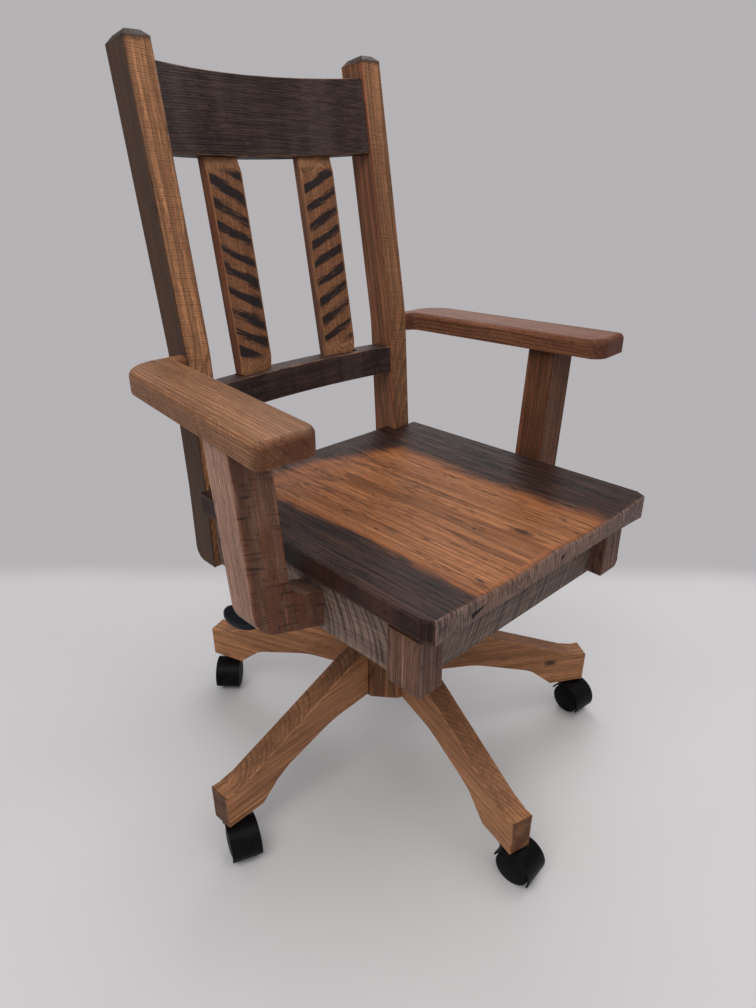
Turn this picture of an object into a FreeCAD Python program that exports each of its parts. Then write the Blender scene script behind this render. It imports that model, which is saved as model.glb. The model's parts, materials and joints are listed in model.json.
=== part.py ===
"""Reclaimed-wood bankers swivel chair: one STEP file per separate piece.

Frame: millimetres, +Z up. The origin is on the floor under the column's axis, the sitter faces -Y,
and the sitter's right arm is on the -X side. Pieces that come in pairs are drawn on the +X side
(the sitter's left) and mirrored.
"""
import FreeCAD, Part
import math
import os

# Casters
wheel_radius = 26.0
wheel_width = 17.5
wheel_dome = 2.5
wheel_web_gap = 0.8
web_thickness = 8.0
web_core_radius = 11.7
wheel_chamfer = 1.5
hood_gap = 2.2
hood_wall = 2.6
hood_cut_angle = 24.0
caster_trail = 21.0
caster_height = 59.0
stem_radius = 5.5
stem_length = 34.0
stem_clearance = 0.06
axle_radius = 4.0
axle_clearance = 0.06
boss_radius = 10.0
boss_gap = 0.5
stem_embed = 4.0
axle_end_gap = 0.3
# Direction in which each caster trails at rest, degrees from +X
caster_headings = (-85.0, -96.0, -100.0, -135.0, -110.0)

# Base
leg_count = 5
first_leg_angle = -104.7
leg_width = 35.0
leg_tip_radius = 365.0
leg_tip_height = 58.0
leg_foot_length = 63.0
leg_tip_flat = 26.0
leg_tip_round = 60.0
leg_shoulder_run = 28.0
leg_shoulder_drop = 5.0
leg_shoulder_round = 70.0
leg_arch_run = 85.0
leg_arch_drop = 2.0
leg_arch_round = 160.0
leg_ankle_run = 42.0
leg_ankle_rise = 34.0
leg_ankle_round = 60.0
leg_arris = 2.0
leg_heel_round = 6.0
leg_stem_inset = 27.0
leg_root_top = 213.0
leg_arch_crown = 124.0
leg_tenon = 14.0
leg_tenon_shoulder = 6.0
hub_apothem = 70.0
hub_bottom = 121.0
hub_top = 214.0
leg_bolt_radius = 4.0
leg_bolt_length = 75.0
leg_bolt_in_hub = 25.0
leg_bolt_spacing = 40.0
stem_bore_extra = 1.0

# Gas column
tube_radius = 25.0
tube_wall = 3.5
tube_bottom = 113.0
tube_top = 292.0
tube_floor = 6.0
bush_length = 92.0
bush_flange = 3.0
lift_radius = 14.0
lift_wall = 2.5
lift_bottom = 180.0
lift_length = 220.0
lift_gland = 12.0
lift_plug = 21.0
piston_rod_radius = 5.0
piston_length = 10.0
piston_top = 340.0
collar_radius = 10.0
collar_height = 4.0
button_radius = 4.0
button_length = 19.0
button_stand_out = 6.0
button_bore_depth = 18.0
running_clearance = 0.06
bearing_height = 5.0
clip_height = 2.0
clip_radius = 9.0
clip_gap = 0.2
rod_end = 2.0

# Seat
seat_top = 485.0
seat_thickness = 33.0
seat_front = -303.0
seat_back = 188.0
seat_half_front = 240.0
seat_half_back = 233.0
seat_clip_width = 19.0
seat_clip_length = 35.0
seat_clip_round = 12.0
plank_count = 5
scoop_radius = 1100.0
scoop_depth = 6.0
scoop_spacing = 90.0
scoop_end = 35.0
notch_clearance = 1.0
seat_ear_round = 3.0
seat_back_round = 6.0

# Back posts
post_width = 40.0
post_depth = 51.0
post_inner = 182.0
post_bottom = 350.0
post_top = 1086.0
post_foot_front = 170.0
post_straight_top = 470.0
post_bend_height = 683.0
post_bend_front = 182.7
post_lean = 0.17
post_bend_radius = 420.0
post_foot_radius = 900.0
post_heel_radius = 22.0
post_edge = 3.0
post_crown = 9.0

# Back rails and slats
crest_below_top = 33.0
crest_height = 108.0
crest_thickness = 25.0
crest_inset = 4.0
crest_bow = 32.0
low_rail_below_bend = 48.0
low_rail_height = 47.0
low_rail_thickness = 33.0
low_rail_inset = 3.0
low_rail_bow = 14.0
rail_tenon = 18.0
rail_tenon_thickness = 11.0
rail_tenon_shoulder = 14.0
slat_width = 62.0
slat_thickness = 19.0
slat_inset_low = 25.0
slat_inset_high = 31.0
slat_centre = 88.0
slat_mortise = 11.0
rail_edge = 1.5

# Aprons and front legs
apron_thickness = 22.0
apron_bottom = 356.0
side_apron_face = 213.0
front_apron_face = -253.0
back_apron_face = 180.0
front_leg_outer = 231.0
front_leg_width = 47.0
front_leg_front = -275.0
front_leg_depth = 50.0
front_leg_bottom = 354.0
front_leg_gap = 10.0
front_leg_corner = 18.0
front_leg_arris = 5.0
block_size = 62.0
block_height = 40.0
block_drop = 12.0

# Arms and their supports
arm_top = 687.0
arm_thickness = 30.0
arm_back = 204.0
arm_front = -177.0
arm_inner_front = 276.0
arm_outer_front = 359.0
arm_inner_back = 238.0
arm_outer_back = 315.0
arm_end_skew = 6.0
arm_notch_front = 183.0
arm_notch_step = 7.0
arm_round = 9.0
arm_notch_round = 14.0
arm_inner_corner = 24.0
arm_outer_corner = 11.0
arm_back_corner = 58.0
support_front = -90.0
support_depth = 50.0
support_top_outer = 341.0
support_top_width = 57.0
support_elbow_x = 322.0
support_elbow_z = 398.0
support_elbow_radius = 46.0
support_foot_bottom = 366.0
support_foot_top = 419.0
support_crook_x = 266.0
support_crook_z = 436.0
support_crook_radius = 34.0
support_edge = 3.0

# Tilt mechanism
plate_thickness = 3.0
plate_half_width = 90.0
plate_front = -150.0
plate_back = 110.0
ear_inner = 47.0
ear_drop = 34.0
pivot_y = -70.0
pivot_drop = 27.0
pivot_radius = 5.0
ear_half_length = 22.0
ear_half_tip = 13.0
ear_round = 8.0
pan_half_width = 46.0
pan_wall = 2.5
pan_front = -95.0
pan_back = 95.0
pan_bottom = 385.0
pan_front_height = 50.0
pan_back_height = 15.0
pan_nose = 60.0
pan_front_round = 12.0
pan_top_round = 20.0
pan_back_round = 6.0
tilt_pin_end = 2.0
cone_radius = 20.0
cone_length = 44.0
tension_y = -130.0
tension_radius = 5.0
tension_head_radius = 9.0
tension_head_height = 6.0
tension_depth = 21.0
spring_wire = 2.4
spring_length = 64.0
knob_radius = 24.0
knob_height = 27.0
knob_lobes = 6
knob_lobe_radius = 6.0
seat_gap = 0.3

# Height lever
lever_y = 60.0
lever_end_y = 88.0
lever_rod_radius = 3.5
lever_gap = 0.4
lever_turn_x = -28.0
lever_turn_radius = 10.0
lever_bend_x = -112.0
lever_low_x = -172.0
lever_low_z = 302.0
lever_end_x = -224.0
lever_bend_radius = 22.0
paddle_length = 72.0
paddle_width = 42.0
paddle_thickness = 10.0
paddle_edge = 3.5
paddle_lap = 12.0

# Screws
screw_radius = 2.6
screw_head_radius = 5.0
screw_head_height = 3.0
plate_screw_inset = 16.0
plate_screw_length = 24.0
support_screw_length = 55.0
support_screw_inset = 14.0
arm_stud_radius = 4.0
arm_stud_length = 54.0

# Sizes that follow from the ones above
seat_bottom = seat_top - seat_thickness
post_outer = post_inner + post_width
crest_top = post_top - crest_below_top
crest_bottom = crest_top - crest_height
low_rail_top = post_bend_height - low_rail_below_bend
low_rail_bottom = low_rail_top - low_rail_height
arm_bottom = arm_top - arm_thickness
hood_radius = wheel_radius + hood_gap + hood_wall
lift_top = lift_bottom + lift_length
plate_bottom = seat_bottom - plate_thickness
pivot_z = seat_bottom - pivot_drop
lever_z = lift_top + button_stand_out + lever_gap + lever_rod_radius
knob_top = pan_bottom - seat_gap
leg_step = 360.0 / leg_count
lean_angle = math.degrees(math.atan(post_lean))
mirror_origin = FreeCAD.Vector(0, 0, 0)
mirror_normal = FreeCAD.Vector(1, 0, 0)


def vec(x, y, z):
    return FreeCAD.Vector(x, y, z)


def box(x0, x1, y0, y1, z0, z1):
    return Part.makeBox(x1 - x0, y1 - y0, z1 - z0, vec(x0, y0, z0))


def pin(radius, start, along, length):
    return Part.makeCylinder(radius, length, start, along)


def mirrored(shape):
    """The -X partner of a piece drawn on the +X side."""
    return shape.mirror(mirror_origin, mirror_normal)


def corner_arc(before, corner, after, radius):
    """Tangent arc of the given radius that rounds one corner: its start, middle and end."""
    back = (before - corner).normalize()
    ahead = (after - corner).normalize()
    half = back.getAngle(ahead) / 2.0
    reach = radius / math.tan(half)
    bisector = (back + ahead).normalize()
    middle = corner + bisector * (radius / math.sin(half) - radius)
    return corner + back * reach, middle, corner + ahead * reach


def outline(points, to_space):
    """Closed wire through (u, v, radius) points; a radius over 0 rounds that corner with an arc."""
    corners = [to_space(u, v) for u, v, radius in points]
    count = len(points)
    joints = []
    for i in range(count):
        radius = points[i][2]
        if radius > 0:
            joints.append(corner_arc(corners[i - 1], corners[i], corners[(i + 1) % count], radius))
        else:
            joints.append((corners[i], None, corners[i]))
    edges = []
    for i in range(count):
        start, middle, end = joints[i]
        following = joints[(i + 1) % count][0]
        if middle is not None:
            edges.append(Part.Arc(start, middle, end).toShape())
        if end.distanceToPoint(following) > 1e-6:
            edges.append(Part.LineSegment(end, following).toShape())
    return Part.Wire(edges)


def prism(points, to_space, along):
    """Solid of an outline pushed along a vector."""
    return Part.Face(outline(points, to_space)).extrude(along)


def side_view(x):
    """Places (y, z) outline points in the plane at x."""
    return lambda y, z: vec(x, y, z)


def front_view(y):
    """Places (x, z) outline points in the plane at y."""
    return lambda x, z: vec(x, y, z)


def top_view(z):
    """Places (x, y) outline points in the plane at z."""
    return lambda x, y: vec(x, y, z)


def edges_where(shape, test):
    return [edge for edge in shape.Edges if test(edge)]


def runs_along(edge, direction, limit=0.995):
    """Whether an edge runs along a direction from end to end."""
    if len(edge.Vertexes) < 2:
        return False
    run = edge.Vertexes[-1].Point - edge.Vertexes[0].Point
    return run.Length > 1e-6 and abs(run.normalize().dot(direction)) > limit


def turned(shape, angle):
    """A copy turned about the column's axis."""
    copy = shape.copy()
    copy.rotate(vec(0, 0, 0), vec(0, 0, 1), angle)
    return copy


def polar(radius, angle, z):
    return vec(radius * math.cos(math.radians(angle)), radius * math.sin(math.radians(angle)), z)


def post_front(z):
    """Y of the posts' front face at a height, without the rounding of the bend."""
    if z <= post_straight_top:
        return post_foot_front
    if z <= post_bend_height:
        share = (z - post_straight_top) / (post_bend_height - post_straight_top)
        return post_foot_front + share * (post_bend_front - post_foot_front)
    return post_bend_front + post_lean * (z - post_bend_height)


def lean_back(shape):
    """Leans a piece drawn upright in the posts' upper plane back to the posts' lean."""
    shape.rotate(vec(0, post_bend_front, post_bend_height), vec(1, 0, 0), -lean_angle)
    return shape


def up_the_lean(z):
    """Height of a point of the leaning face before it is leaned back."""
    return post_bend_height + (z - post_bend_height) / math.cos(math.radians(lean_angle))


# Screws: shank and head in one solid; the same solid cuts its own hole

def screw(head, along, length):
    shank = pin(screw_radius, head, along, length)
    return shank.fuse(pin(screw_head_radius, head, along, screw_head_height))


def plate_screws():
    places = []
    side = plate_half_width - plate_screw_inset
    for x in (-side, side):
        for y in (plate_front + plate_screw_inset, plate_back - plate_screw_inset):
            places.append(vec(x, y, plate_bottom - screw_head_height))
    return [screw(place, vec(0, 0, 1), plate_screw_length) for place in places]


def block_screws():
    screws = []
    reach = block_size / 3.0
    for x in (-1, 1):
        side = side_apron_face - apron_thickness - reach
        for y in (front_apron_face + apron_thickness + reach, back_apron_face - reach):
            head = vec(x * side, y, seat_bottom - block_drop - block_height)
            screws.append(screw(head, vec(0, 0, 1), block_height + block_drop + seat_thickness / 3.0))
    return screws


def support_screws():
    screws = []
    height = (support_foot_bottom + support_foot_top) / 2.0
    for x in (-1, 1):
        for y in (support_front + support_screw_inset, support_front + support_depth - support_screw_inset):
            head = vec(x * (side_apron_face - apron_thickness), y, height)
            screws.append(screw(head, vec(x, 0, 0), support_screw_length))
    return screws


def arm_studs():
    """Hidden studs, half in the post and half in the arm."""
    height = arm_top - arm_thickness / 2.0
    place = (arm_notch_front + arm_back) / 2.0
    start = post_outer - arm_stud_length / 2.0
    studs = []
    for x in (-1, 1):
        studs.append(pin(arm_stud_radius, vec(x * start, place, height), vec(x, 0, 0), arm_stud_length))
    return studs


# Casters

def caster_hood():
    """Hood, web and stem boss of one caster; its stem is on the Z axis and it trails along +X."""
    axle_at = vec(caster_trail, 0, wheel_radius)
    width = web_thickness + 2.0 * (wheel_width + wheel_web_gap)
    shell = pin(hood_radius, axle_at - vec(0, width / 2.0, 0), vec(0, 1, 0), width)
    boss = pin(boss_radius, vec(0, 0, wheel_radius + hood_radius / 2.0), vec(0, 0, 1),
               caster_height - boss_gap - wheel_radius - hood_radius / 2.0)
    hood = shell.fuse(boss)
    for side in (-1, 1):
        inner = web_thickness / 2.0
        start = axle_at + vec(0, side * inner, 0)
        hood = hood.cut(pin(wheel_radius + hood_gap, start, vec(0, side, 0), width))
    reach = 2.0 * hood_radius
    below = box(caster_trail - reach, caster_trail + reach, -reach, reach, wheel_radius - reach, wheel_radius)
    below.rotate(axle_at, vec(0, 1, 0), hood_cut_angle)
    core = pin(web_core_radius, axle_at - vec(0, web_thickness / 2.0, 0), vec(0, 1, 0), web_thickness)
    hood = hood.cut(below).fuse(core)
    hood = hood.cut(caster_stem()).cut(caster_axle())
    return hood.removeSplitter()


def caster_stem():
    bottom = wheel_radius + hood_radius / 2.0 + stem_embed
    return pin(stem_radius, vec(0, 0, bottom), vec(0, 0, 1), caster_height + stem_length - bottom)


def caster_axle():
    width = web_thickness + 2.0 * (wheel_width - wheel_dome)
    return pin(axle_radius, vec(caster_trail, -width / 2.0, wheel_radius), vec(0, 1, 0), width)


def caster_wheel(side):
    """Domed disc wheel on one side of the web, with a blind bore for the axle."""
    inner = web_thickness / 2.0 + wheel_web_gap
    rim = inner + wheel_width - wheel_dome
    bore_end = web_thickness / 2.0 + wheel_width - wheel_dome + axle_end_gap
    bore = axle_radius + axle_clearance
    tread = wheel_chamfer
    edges = [
        Part.LineSegment(vec(0, bore_end, 0), vec(0, rim + wheel_dome, 0)).toShape(),
        Part.Arc(vec(0, rim + wheel_dome, 0), vec(wheel_radius / 2.0, rim + wheel_dome * 3.0 / 4.0, 0),
                 vec(wheel_radius - tread, rim, 0)).toShape(),
        Part.LineSegment(vec(wheel_radius - tread, rim, 0), vec(wheel_radius, rim - tread, 0)).toShape(),
        Part.LineSegment(vec(wheel_radius, rim - tread, 0), vec(wheel_radius, inner + tread, 0)).toShape(),
        Part.LineSegment(vec(wheel_radius, inner + tread, 0), vec(wheel_radius - tread, inner, 0)).toShape(),
        Part.LineSegment(vec(wheel_radius - tread, inner, 0), vec(bore, inner, 0)).toShape(),
        Part.LineSegment(vec(bore, inner, 0), vec(bore, bore_end, 0)).toShape(),
        Part.LineSegment(vec(bore, bore_end, 0), vec(0, bore_end, 0)).toShape(),
    ]
    wheel = Part.Face(Part.Wire(edges)).revolve(vec(0, 0, 0), vec(0, 1, 0), 360)
    if side < 0:
        wheel = wheel.mirror(vec(0, 0, 0), vec(0, 1, 0))
    wheel.translate(vec(caster_trail, 0, wheel_radius))
    return wheel


def place_caster(shape, index):
    copy = turned(shape, caster_headings[index])
    copy.translate(polar(leg_tip_radius - leg_stem_inset, first_leg_angle + index * leg_step, 0))
    return copy


# Base

def base_leg():
    """One leg along +X: flat foot, arched underside and a top that falls from hub to tip."""
    tip_top = caster_height + leg_tip_height
    root = hub_apothem
    foot_end = leg_tip_radius - leg_foot_length
    points = [
        (leg_tip_radius, caster_height, 0),
        (leg_tip_radius, tip_top, leg_arris),
        (leg_tip_radius - leg_tip_flat, tip_top, leg_tip_round),
        (root + leg_shoulder_run, leg_root_top - leg_shoulder_drop, leg_shoulder_round),
        (root, leg_root_top, 0),
        (root, leg_arch_crown, 0),
        (root + leg_arch_run, leg_arch_crown - leg_arch_drop, leg_arch_round),
        (foot_end - leg_ankle_run, caster_height + leg_ankle_rise, leg_ankle_round),
        (foot_end, caster_height, leg_heel_round),
    ]
    leg = prism(points, front_view(-leg_width / 2.0), vec(0, leg_width, 0))
    shoulder = leg_tenon_shoulder
    tenon = box(root - leg_tenon, root, -leg_width / 2.0 + shoulder, leg_width / 2.0 - shoulder,
                leg_arch_crown + 2.0 * shoulder, leg_root_top - 2.0 * shoulder)
    leg = leg.fuse(tenon).removeSplitter()
    bore = pin(stem_radius + stem_clearance, vec(leg_tip_radius - leg_stem_inset, 0, caster_height),
               vec(0, 0, 1), stem_length + stem_bore_extra)
    leg = leg.cut(bore)
    for bolt in leg_bolts_along_x():
        leg = leg.cut(bolt)
    return leg


def leg_bolts_along_x():
    """Two hanger bolts that draw one leg to the hub."""
    middle = (leg_root_top + leg_arch_crown) / 2.0
    bolts = []
    for height in (middle - leg_bolt_spacing / 2.0, middle + leg_bolt_spacing / 2.0):
        start = vec(hub_apothem - leg_bolt_in_hub, 0, height)
        bolts.append(pin(leg_bolt_radius, start, vec(1, 0, 0), leg_bolt_length))
    return bolts


def leg_bolts():
    bolts = []
    for i in range(leg_count):
        for bolt in leg_bolts_along_x():
            bolts.append(turned(bolt, first_leg_angle + i * leg_step))
    return Part.makeCompound(bolts)


def hub(legs, bolts):
    """Ten-sided block: five faces carry legs, and the five between them show."""
    sides = 2 * leg_count
    radius = hub_apothem / math.cos(math.pi / sides)
    corners = [polar(radius, first_leg_angle + (i + 0.5) * 360.0 / sides, hub_bottom) for i in range(sides)]
    block = Part.Face(Part.makePolygon(corners + corners[:1])).extrude(vec(0, 0, hub_top - hub_bottom))
    block = block.cut(pin(tube_radius, vec(0, 0, 0), vec(0, 0, 1), 2.0 * hub_top))
    for piece in legs + [bolts]:
        block = block.cut(piece)
    return block


# Gas column

def stand_tube():
    inner = tube_radius - tube_wall
    tube = pin(tube_radius, vec(0, 0, tube_bottom), vec(0, 0, 1), tube_top - tube_bottom)
    tube = tube.cut(pin(inner, vec(0, 0, tube_bottom + tube_floor), vec(0, 0, 1), tube_top))
    return tube.cut(pin(piston_rod_radius + running_clearance, vec(0, 0, 0), vec(0, 0, 1), tube_top))


def guide_bush():
    bush = pin(tube_radius - tube_wall, vec(0, 0, tube_top - bush_length), vec(0, 0, 1), bush_length)
    bush = bush.fuse(pin(tube_radius, vec(0, 0, tube_top), vec(0, 0, 1), bush_flange))
    return bush.cut(pin(lift_radius + running_clearance, vec(0, 0, 0), vec(0, 0, 1), 2.0 * tube_top))


def pressure_tube():
    tube = pin(lift_radius, vec(0, 0, lift_bottom), vec(0, 0, 1), lift_length)
    cavity = lift_length - lift_gland - lift_plug
    tube = tube.cut(pin(lift_radius - lift_wall, vec(0, 0, lift_bottom + lift_gland), vec(0, 0, 1), cavity))
    gland = lift_bottom + lift_gland
    rod_bore = pin(piston_rod_radius + running_clearance, vec(0, 0, 0), vec(0, 0, 1), gland)
    button_low = vec(0, 0, lift_top - button_bore_depth)
    button_bore = pin(button_radius + running_clearance, button_low, vec(0, 0, 1), lift_top)
    return tube.cut(rod_bore).cut(button_bore)


def piston_rod():
    bottom = tube_bottom - clip_height - rod_end
    rod = pin(piston_rod_radius, vec(0, 0, bottom), vec(0, 0, 1), piston_top - bottom)
    head = pin(lift_radius - lift_wall - running_clearance, vec(0, 0, piston_top - piston_length),
               vec(0, 0, 1), piston_length)
    seat = tube_bottom + tube_floor + bearing_height + running_clearance
    collar = pin(collar_radius, vec(0, 0, seat), vec(0, 0, 1), collar_height)
    return rod.fuse([head, collar]).removeSplitter()


def release_button():
    top = lift_top + button_stand_out
    return pin(button_radius, vec(0, 0, top - button_length), vec(0, 0, 1), button_length)


def thrust_bearing():
    """Ring on the stand tube's floor that the piston rod's collar turns on."""
    ring = pin(lift_radius, vec(0, 0, tube_bottom + tube_floor), vec(0, 0, 1), bearing_height)
    return ring.cut(pin(piston_rod_radius + running_clearance, vec(0, 0, 0), vec(0, 0, 1), tube_top))


def retaining_clip():
    ring = pin(clip_radius, vec(0, 0, tube_bottom - clip_height - clip_gap), vec(0, 0, 1), clip_height)
    return ring.cut(pin(piston_rod_radius, vec(0, 0, 0), vec(0, 0, 1), tube_top))


# Tilt mechanism and height lever

def seat_plate():
    plate = box(-plate_half_width, plate_half_width, plate_front, plate_back, plate_bottom, seat_bottom)
    ear = prism([(pivot_y - ear_half_length, plate_bottom, 0), (pivot_y - ear_half_length, pivot_z, 0),
                 (pivot_y - ear_half_tip, plate_bottom - ear_drop, ear_round),
                 (pivot_y + ear_half_tip, plate_bottom - ear_drop, ear_round),
                 (pivot_y + ear_half_length, pivot_z, 0), (pivot_y + ear_half_length, plate_bottom, 0)],
                side_view(ear_inner), vec(plate_thickness, 0, 0))
    plate = plate.fuse(ear).fuse(mirrored(ear))
    start = vec(-2.0 * ear_inner, pivot_y, pivot_z)
    plate = plate.cut(pin(pivot_radius + running_clearance, start, vec(1, 0, 0), 4.0 * ear_inner))
    for piece in plate_screws():
        plate = plate.cut(piece)
    return plate.removeSplitter()


def tilt_housing():
    """Pressed pan with a nose for the tension bolt and a sleeve that grips the column."""
    top_front = pan_bottom + pan_front_height
    side = [(pan_front, pan_bottom, 0), (pan_front, top_front, pan_front_round),
            (pivot_y + ear_half_length, top_front, pan_top_round),
            (pan_back, pan_bottom + pan_back_height, pan_back_round), (pan_back, pan_bottom, 0)]
    pan = prism(side, side_view(-pan_half_width), vec(2.0 * pan_half_width, 0, 0))
    inner = pan_half_width - pan_wall
    pan = pan.cut(box(-inner, inner, pan_front + pan_wall, pan_back - pan_wall,
                      pan_bottom + pan_wall, 2.0 * top_front))
    nose = box(-inner / 2.0, inner / 2.0, pan_front - pan_nose, pan_front, pan_bottom, pan_bottom + pan_wall)
    sleeve = pin(cone_radius, vec(0, 0, pan_bottom - cone_length), vec(0, 0, 1), cone_length)
    pan = pan.fuse([nose, sleeve])
    pan = pan.cut(pin(lift_radius, vec(0, 0, 0), vec(0, 0, 1), 2.0 * pan_bottom))
    pan = pan.cut(pin(tension_radius, vec(0, tension_y, 0), vec(0, 0, 1), 2.0 * pan_bottom))
    reach = 2.0 * pan_half_width
    pan = pan.cut(pin(pivot_radius, vec(-reach, pivot_y, pivot_z), vec(1, 0, 0), 2.0 * reach))
    half = lever_rod_radius + seat_gap
    notch = box(-reach, -inner + 1.0, lever_y - half, lever_y + half, lever_z - half, 2.0 * top_front)
    return pan.cut(notch).removeSplitter()


def tilt_pin():
    reach = ear_inner + plate_thickness + tilt_pin_end
    return pin(pivot_radius, vec(-reach, pivot_y, pivot_z), vec(1, 0, 0), 2.0 * reach)


def tilt_spring():
    """Torsion spring round the tilt pin, drawn as the sleeve that its closed turns fill."""
    start = vec(-spring_length / 2.0, pivot_y, pivot_z)
    inner = pivot_radius + seat_gap
    spring = pin(inner + spring_wire, start, vec(1, 0, 0), spring_length)
    return spring.cut(pin(inner, start, vec(1, 0, 0), spring_length))


def tension_bolt():
    """Bolt that hangs through the nose of the pan, with a hexagonal head above it."""
    seat = pan_bottom + pan_wall
    corners = [polar(tension_head_radius, i * 60.0, seat) + vec(0, tension_y, 0) for i in range(6)]
    head = Part.Face(Part.makePolygon(corners + corners[:1])).extrude(vec(0, 0, tension_head_height))
    return head.fuse(tension_shank(tension_radius, knob_top - tension_depth)).removeSplitter()


def tension_shank(radius, low):
    return pin(radius, vec(0, tension_y, low), vec(0, 0, 1), pan_bottom + pan_wall - low)


def tension_knob():
    """Lobed hand knob on the lower end of the tension bolt."""
    low = knob_top - knob_height
    knob = pin(knob_radius - knob_lobe_radius / 2.0, vec(0, tension_y, low), vec(0, 0, 1), knob_height)
    for i in range(knob_lobes):
        place = polar(knob_radius - knob_lobe_radius, i * 360.0 / knob_lobes, low) + vec(0, tension_y, 0)
        knob = knob.fuse(pin(knob_lobe_radius, place, vec(0, 0, 1), knob_height))
    bore = tension_shank(tension_radius + running_clearance, knob_top - tension_depth - seat_gap)
    return knob.cut(bore).removeSplitter()


def lever_rod():
    """Bent rod: an inner finger over the release button and an outer run under the side apron."""
    route = [vec(lever_rod_radius, 0, lever_z), vec(lever_turn_x, 0, lever_z),
             vec(lever_turn_x, lever_y, lever_z), vec(lever_bend_x, lever_y, lever_z),
             vec(lever_low_x, lever_y, lever_low_z), vec(lever_end_x, lever_end_y, lever_low_z)]
    radii = (0, lever_turn_radius, lever_turn_radius, lever_bend_radius, lever_bend_radius)
    edges = []
    last = route[0]
    for i in range(1, len(route) - 1):
        start, middle, end = corner_arc(route[i - 1], route[i], route[i + 1], radii[i])
        edges.append(Part.LineSegment(last, start).toShape())
        edges.append(Part.Arc(start, middle, end).toShape())
        last = end
    edges.append(Part.LineSegment(last, route[-1]).toShape())
    ring = Part.Wire([Part.makeCircle(lever_rod_radius, route[0], vec(1, 0, 0))])
    return Part.Wire(edges).makePipeShell([ring], True, False)


def lever_paddle():
    """Flat oval hand paddle on the outer end of the lever."""
    low = lever_low_z - paddle_thickness / 2.0
    centre = vec(lever_end_x - paddle_width / 2.0 + paddle_lap, lever_end_y, low)
    along = vec(0, paddle_length / 2.0, 0)
    across = vec(paddle_width / 2.0, 0, 0)
    oval = Part.Ellipse(centre + along, centre + across, centre)
    paddle = Part.Face(Part.Wire([oval.toShape()])).extrude(vec(0, 0, paddle_thickness))
    rims = edges_where(paddle, lambda edge: len(edge.Vertexes) == 1)
    return paddle.makeFillet(paddle_edge, rims).cut(lever_rod())


# Seat, aprons and front legs

def seat_blank():
    """Seat board before it is ripped into planks: clipped front corners and notches for the posts."""
    shoulder = post_inner - notch_clearance
    notch = post_foot_front - notch_clearance
    right = [(seat_half_front - seat_clip_width, seat_front, seat_clip_round),
             (seat_half_front, seat_front + seat_clip_length, seat_clip_round),
             (seat_half_back, notch, seat_ear_round), (shoulder, notch, 0),
             (shoulder, seat_back, seat_back_round)]
    left = [(-x, y, r) for x, y, r in reversed(right)]
    board = prism(right + left, top_view(seat_bottom), vec(0, 0, seat_thickness))
    for side in (-1, 1):
        centre_z = seat_top + scoop_radius - scoop_depth
        start = vec(side * scoop_spacing, 2.0 * seat_front, centre_z)
        board = board.cut(pin(scoop_radius, start, vec(0, 1, 0), scoop_end - 2.0 * seat_front))
        board = board.cut(Part.makeSphere(scoop_radius, vec(side * scoop_spacing, scoop_end, centre_z)))
    for piece in plate_screws() + block_screws():
        board = board.cut(piece)
    return board


def seat_planks():
    board = seat_blank()
    width = 2.0 * seat_half_front / plank_count
    planks = []
    for i in range(plank_count):
        left = -seat_half_front + i * width
        strip = box(left, left + width, 2.0 * seat_front, 2.0 * seat_back, seat_bottom - 1.0, seat_top + 1.0)
        planks.append(board.common(strip))
    return planks


def front_leg():
    left = front_leg_outer - front_leg_width
    back = front_leg_front + front_leg_depth
    low = front_leg_bottom
    top = seat_bottom - front_leg_gap
    front = [(left, low, front_leg_arris), (front_leg_outer, low, front_leg_corner),
             (front_leg_outer, top, 0), (left, top, 0)]
    side = [(front_leg_front, low, front_leg_arris), (back, low, front_leg_corner),
            (back, top, 0), (front_leg_front, top, 0)]
    across = prism(front, front_view(front_leg_front), vec(0, front_leg_depth, 0))
    along = prism(side, side_view(left), vec(front_leg_width, 0, 0))
    return across.common(along)


def side_apron():
    inner = side_apron_face - apron_thickness
    front = front_leg_front + front_leg_depth
    apron = box(inner, side_apron_face, front, post_foot_front, apron_bottom, seat_bottom)
    for piece in support_screws():
        apron = apron.cut(piece)
    return apron


def front_apron():
    reach = front_leg_outer - front_leg_width
    back = front_apron_face + apron_thickness
    return box(-reach, reach, front_apron_face, back, apron_bottom, seat_bottom)


def back_apron():
    back = back_apron_face + apron_thickness
    return box(-post_inner, post_inner, back_apron_face, back, apron_bottom, seat_bottom)


def corner_blocks():
    """Four glued blocks inside the corners of the aprons, through which the seat is screwed down."""
    leg_corner = box(front_leg_outer - front_leg_width, front_leg_outer, front_leg_front,
                     front_leg_front + front_leg_depth, front_leg_bottom, seat_bottom)
    post_corner = box(post_inner, post_outer, post_foot_front, seat_back, post_bottom, seat_bottom)
    side = side_apron_face - apron_thickness
    front = front_apron_face + apron_thickness
    low = seat_bottom - block_drop - block_height
    blocks = []
    for y, run in ((front, 1.0), (back_apron_face, -1.0)):
        corner = [vec(side, y, low), vec(side - block_size, y, low), vec(side, y + run * block_size, low)]
        block = Part.Face(Part.makePolygon(corner + corner[:1])).extrude(vec(0, 0, block_height))
        blocks.append(block.cut(leg_corner).cut(post_corner))
    blocks += [mirrored(block) for block in blocks]
    screws = block_screws()
    fitted = []
    for block in blocks:
        for piece in screws:
            block = block.cut(piece)
        fitted.append(block)
    return Part.makeCompound(fitted)


# Back

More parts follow.
